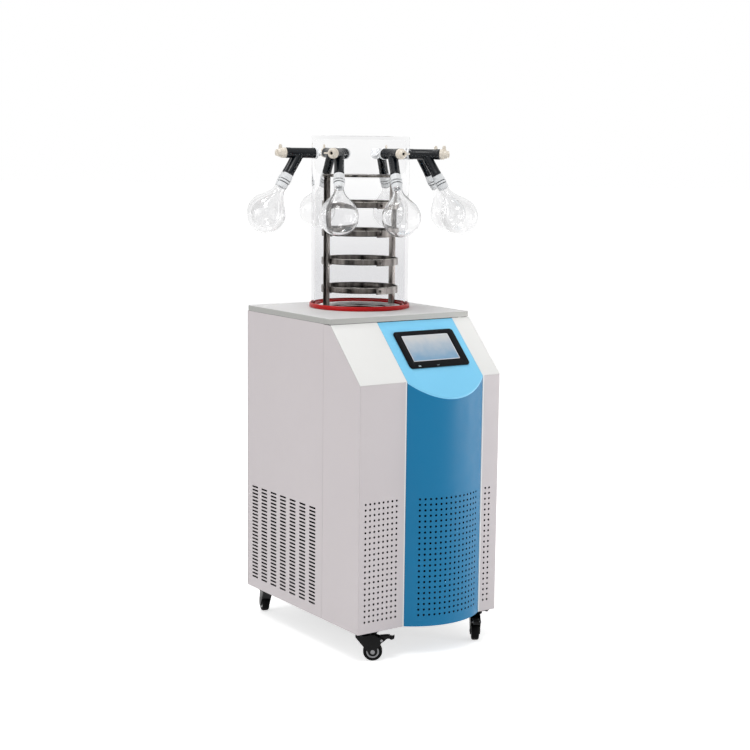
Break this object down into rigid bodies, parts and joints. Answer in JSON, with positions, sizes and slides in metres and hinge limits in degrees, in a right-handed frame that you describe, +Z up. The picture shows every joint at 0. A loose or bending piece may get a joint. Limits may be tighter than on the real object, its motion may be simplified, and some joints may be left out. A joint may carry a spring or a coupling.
{
  "type": "manifold freeze dryer",
  "caption": "Floor-standing freeze dryer on casters: bulged blue front, sloped touch panel, clear tray chamber and a ring of flask valves.",
  "frame": {"origin": "centre of the bounding box at floor level", "axes": "+Z up, -Y out of the front with the touch screen, +X to the right of someone facing the front"},
  "size_m": [0.641, 0.7274, 1.3137],
  "materials": {
    "white_paint": "satin white powder coat",
    "blue_paint": "satin blue powder coat",
    "sky_paint": "satin light blue powder coat",
    "grey_paint": "satin warm light grey powder coat",
    "deck_steel": "brushed stainless steel",
    "zinc": "zinc-plated sheet",
    "dark_steel": "dull stainless steel",
    "black_plastic": "black moulded plastic",
    "display": "lit display behind a clear pane",
    "red_silicone": "red silicone",
    "acrylic": "clear acrylic",
    "flask_glass": "clear borosilicate glass",
    "valve_rubber": "black neoprene",
    "cream_plastic": "cream moulded plastic",
    "caster_steel": "black-coated pressed steel",
    "caster_tread": "black rubber tread",
    "cast_iron": "black enamel"
  },
  "bodies": {
    "cabinet": {"base_pan": "zinc", "front_shell": "white_paint", "front_cover": "blue_paint", "control_fascia": "sky_paint", "side_panel_left": "grey_paint", "side_panel_right": "grey_paint", "rear_panel": "grey_paint", "top_deck": "deck_steel", "screen_bezel": "black_plastic", "screen_glass": "display", "cold_trap": "deck_steel", "chamber_gasket": "red_silicone", "chamber": "acrylic", "rack_frame": "dark_steel", "tray_1": "dark_steel", "tray_2": "dark_steel", "tray_3": "dark_steel", "tray_4": "dark_steel", "valve_body_1": "valve_rubber", "valve_body_2": "valve_rubber", "valve_body_3": "valve_rubber", "valve_body_4": "valve_rubber", "valve_body_5": "valve_rubber", "valve_body_6": "valve_rubber", "valve_body_7": "valve_rubber", "valve_body_8": "valve_rubber", "flask_1": "flask_glass", "flask_2": "flask_glass", "flask_3": "flask_glass", "flask_4": "flask_glass", "flask_5": "flask_glass", "flask_6": "flask_glass", "flask_7": "flask_glass", "flask_8": "flask_glass", "caster_plate_1": "caster_steel", "caster_plate_2": "caster_steel", "caster_plate_3": "caster_steel", "caster_plate_4": "caster_steel", "compressor": "cast_iron", "condenser": "zinc", "power_inlet": "black_plastic"},
    "knob_1": {"valve_knob_1": "cream_plastic"},
    "knob_2": {"valve_knob_2": "cream_plastic"},
    "knob_3": {"valve_knob_3": "cream_plastic"},
    "knob_4": {"valve_knob_4": "cream_plastic"},
    "knob_5": {"valve_knob_5": "cream_plastic"},
    "knob_6": {"valve_knob_6": "cream_plastic"},
    "knob_7": {"valve_knob_7": "cream_plastic"},
    "knob_8": {"valve_knob_8": "cream_plastic"},
    "caster_1": {"caster_fork_1": "caster_steel"},
    "wheel_1": {"caster_wheel_1": "caster_tread"},
    "brake_1": {"caster_brake_1": "caster_steel"},
    "caster_2": {"caster_fork_2": "caster_steel"},
    "wheel_2": {"caster_wheel_2": "caster_tread"},
    "brake_2": {"caster_brake_2": "caster_steel"},
    "caster_3": {"caster_fork_3": "caster_steel"},
    "wheel_3": {"caster_wheel_3": "caster_tread"},
    "caster_4": {"caster_fork_4": "caster_steel"},
    "wheel_4": {"caster_wheel_4": "caster_tread"},
    "fan": {"condenser_fan": "black_plastic"}
  },
  "joints": [
    {"name": "knob_1_turn", "type": "hinge", "parent": "cabinet", "child": "knob_1", "pos_m": [-0.02803, -0.18503, 1.26767], "axis": [-0.1219, -0.9925, 0], "range_deg": [0, 180]},
    {"name": "knob_2_turn", "type": "hinge", "parent": "cabinet", "child": "knob_2", "pos_m": [0.1416, -0.13798, 1.26767], "axis": [0.6157, -0.788, 0], "range_deg": [0, 180]},
    {"name": "knob_3_turn", "type": "hinge", "parent": "cabinet", "child": "knob_3", "pos_m": [0.22829, 0.01523, 1.26767], "axis": [0.9925, -0.1219, 0], "range_deg": [0, 180]},
    {"name": "knob_4_turn", "type": "hinge", "parent": "cabinet", "child": "knob_4", "pos_m": [0.18124, 0.18486, 1.26767], "axis": [0.788, 0.6157, 0], "range_deg": [0, 180]},
    {"name": "knob_5_turn", "type": "hinge", "parent": "cabinet", "child": "knob_5", "pos_m": [0.02803, 0.27154, 1.26767], "axis": [0.1219, 0.9925, 0], "range_deg": [0, 180]},
    {"name": "knob_6_turn", "type": "hinge", "parent": "cabinet", "child": "knob_6", "pos_m": [-0.1416, 0.2245, 1.26767], "axis": [-0.6157, 0.788, 0], "range_deg": [0, 180]},
    {"name": "knob_7_turn", "type": "hinge", "parent": "cabinet", "child": "knob_7", "pos_m": [-0.22829, 0.07129, 1.26767], "axis": [-0.9925, 0.1219, 0], "range_deg": [0, 180]},
    {"name": "knob_8_turn", "type": "hinge", "parent": "cabinet", "child": "knob_8", "pos_m": [-0.18124, -0.09834, 1.26767], "axis": [-0.788, -0.6157, 0], "range_deg": [0, 180]},
    {"name": "caster_1_swivel", "type": "hinge", "parent": "cabinet", "child": "caster_1", "pos_m": [-0.2, -0.28774, 0.06937], "axis": [0, 0, 1], "continuous": true},
    {"name": "wheel_1_roll", "type": "hinge", "parent": "caster_1", "child": "wheel_1", "pos_m": [-0.1801, -0.30116, 0.02437], "axis": [0.5592, 0.829, 0], "continuous": true},
    {"name": "brake_1_press", "type": "hinge", "parent": "caster_1", "child": "brake_1", "pos_m": [-0.16186, -0.31346, 0.05437], "axis": [0.5592, 0.829, 0], "range_deg": [0, 12]},
    {"name": "caster_2_swivel", "type": "hinge", "parent": "cabinet", "child": "caster_2", "pos_m": [0.156, -0.28774, 0.06937], "axis": [0, 0, 1], "continuous": true},
    {"name": "wheel_2_roll", "type": "hinge", "parent": "caster_2", "child": "wheel_2", "pos_m": [0.14258, -0.30764, 0.02437], "axis": [0.829, -0.5592, 0], "continuous": true},
    {"name": "brake_2_press", "type": "hinge", "parent": "caster_2", "child": "brake_2", "pos_m": [0.13028, -0.32588, 0.05437], "axis": [0.829, -0.5592, 0], "range_deg": [0, 12]},
    {"name": "caster_3_swivel", "type": "hinge", "parent": "cabinet", "child": "caster_3", "pos_m": [-0.2, 0.19426, 0.06937], "axis": [0, 0, 1], "continuous": true},
    {"name": "wheel_3_roll", "type": "hinge", "parent": "caster_3", "child": "wheel_3", "pos_m": [-0.19258, 0.21709, 0.02437], "axis": [-0.9511, 0.309, 0], "continuous": true},
    {"name": "caster_4_swivel", "type": "hinge", "parent": "cabinet", "child": "caster_4", "pos_m": [0.156, 0.19426, 0.06937], "axis": [0, 0, 1], "continuous": true},
    {"name": "wheel_4_roll", "type": "hinge", "parent": "caster_4", "child": "wheel_4", "pos_m": [0.15809, 0.21817, 0.02437], "axis": [-0.9962, 0.0872, 0], "continuous": true},
    {"name": "fan_spin", "type": "hinge", "parent": "cabinet", "child": "fan", "pos_m": [-0.022, -0.21674, 0.20967], "axis": [0, 1, 0], "continuous": true}
  ]
}
